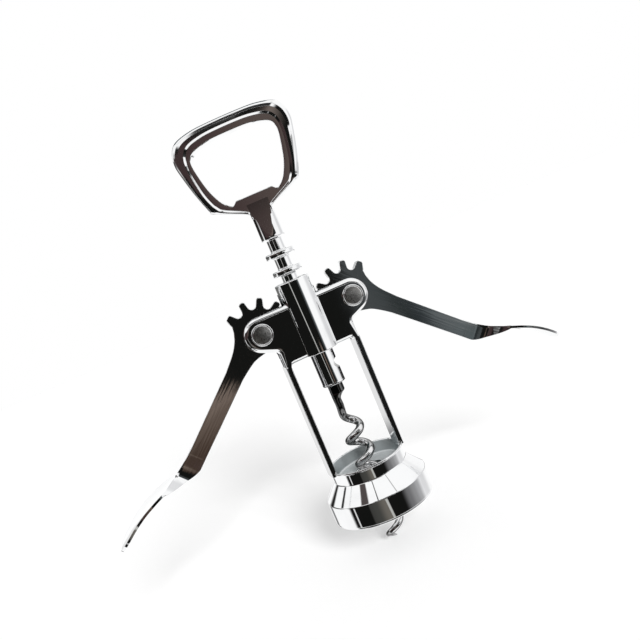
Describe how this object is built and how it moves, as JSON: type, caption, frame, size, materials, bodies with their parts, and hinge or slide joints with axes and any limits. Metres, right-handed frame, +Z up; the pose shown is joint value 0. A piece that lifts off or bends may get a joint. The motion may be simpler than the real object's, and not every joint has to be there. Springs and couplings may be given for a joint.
{
  "type": "wine opener",
  "caption": "Chrome double-lever corkscrew: toothed wing levers lift a ringed rack, worm and crown-cap opener head above a bottle bell.",
  "frame": {"origin": "centre of the bounding box at rest, on the opener's main axis, 8 mm below the lever pivots", "axes": "+Z up along the main axis from the worm's point to the opener head; +X towards the right lever seen from the front; -Y is the front that the picture shows"},
  "size_m": [0.1954, 0.0418, 0.1801],
  "materials": {
    "polished_chrome": "bright polished chrome plate over a zinc casting",
    "plain_steel": "plated steel wire and rod, satin to bright",
    "brushed_rivet": "brushed flat faces with a bright edge"
  },
  "bodies": {
    "frame": {"frame_casting": "polished_chrome", "bell": "polished_chrome", "left_pivot_rivet": "brushed_rivet", "right_pivot_rivet": "brushed_rivet"},
    "left_lever": {"left_lever": "polished_chrome"},
    "right_lever": {"right_lever": "polished_chrome"},
    "rack": {"rack_sleeve": "polished_chrome"},
    "handle": {"spindle": "plain_steel", "opener_head": "polished_chrome", "ferrule": "polished_chrome", "worm": "plain_steel"}
  },
  "joints": [
    {"name": "left_lever_hinge", "type": "hinge", "parent": "frame", "child": "left_lever", "pos_m": [-0.0195, 0, 0.00801], "axis": [0, 1, 0], "range_deg": [-50, 72]},
    {"name": "right_lever_hinge", "type": "hinge", "parent": "frame", "child": "right_lever", "pos_m": [0.0195, 0, 0.00801], "axis": [0, -1, 0], "range_deg": [-50, 72]},
    {"name": "rack_slide", "type": "slide", "parent": "frame", "child": "rack", "axis": [0, 0, 1], "range_m": [-0.017, 0.0118]},
    {"name": "handle_spin", "type": "hinge", "parent": "rack", "child": "handle", "pos_m": [0, 0, 0.00801], "axis": [0, 0, 1], "continuous": true}
  ],
  "couplings": [
    {"joint": "right_lever_hinge", "follows": "left_lever_hinge", "ratio": 1},
    {"joint": "rack_slide", "follows": "left_lever_hinge", "m_per_rad": -0.0135}
  ]
}
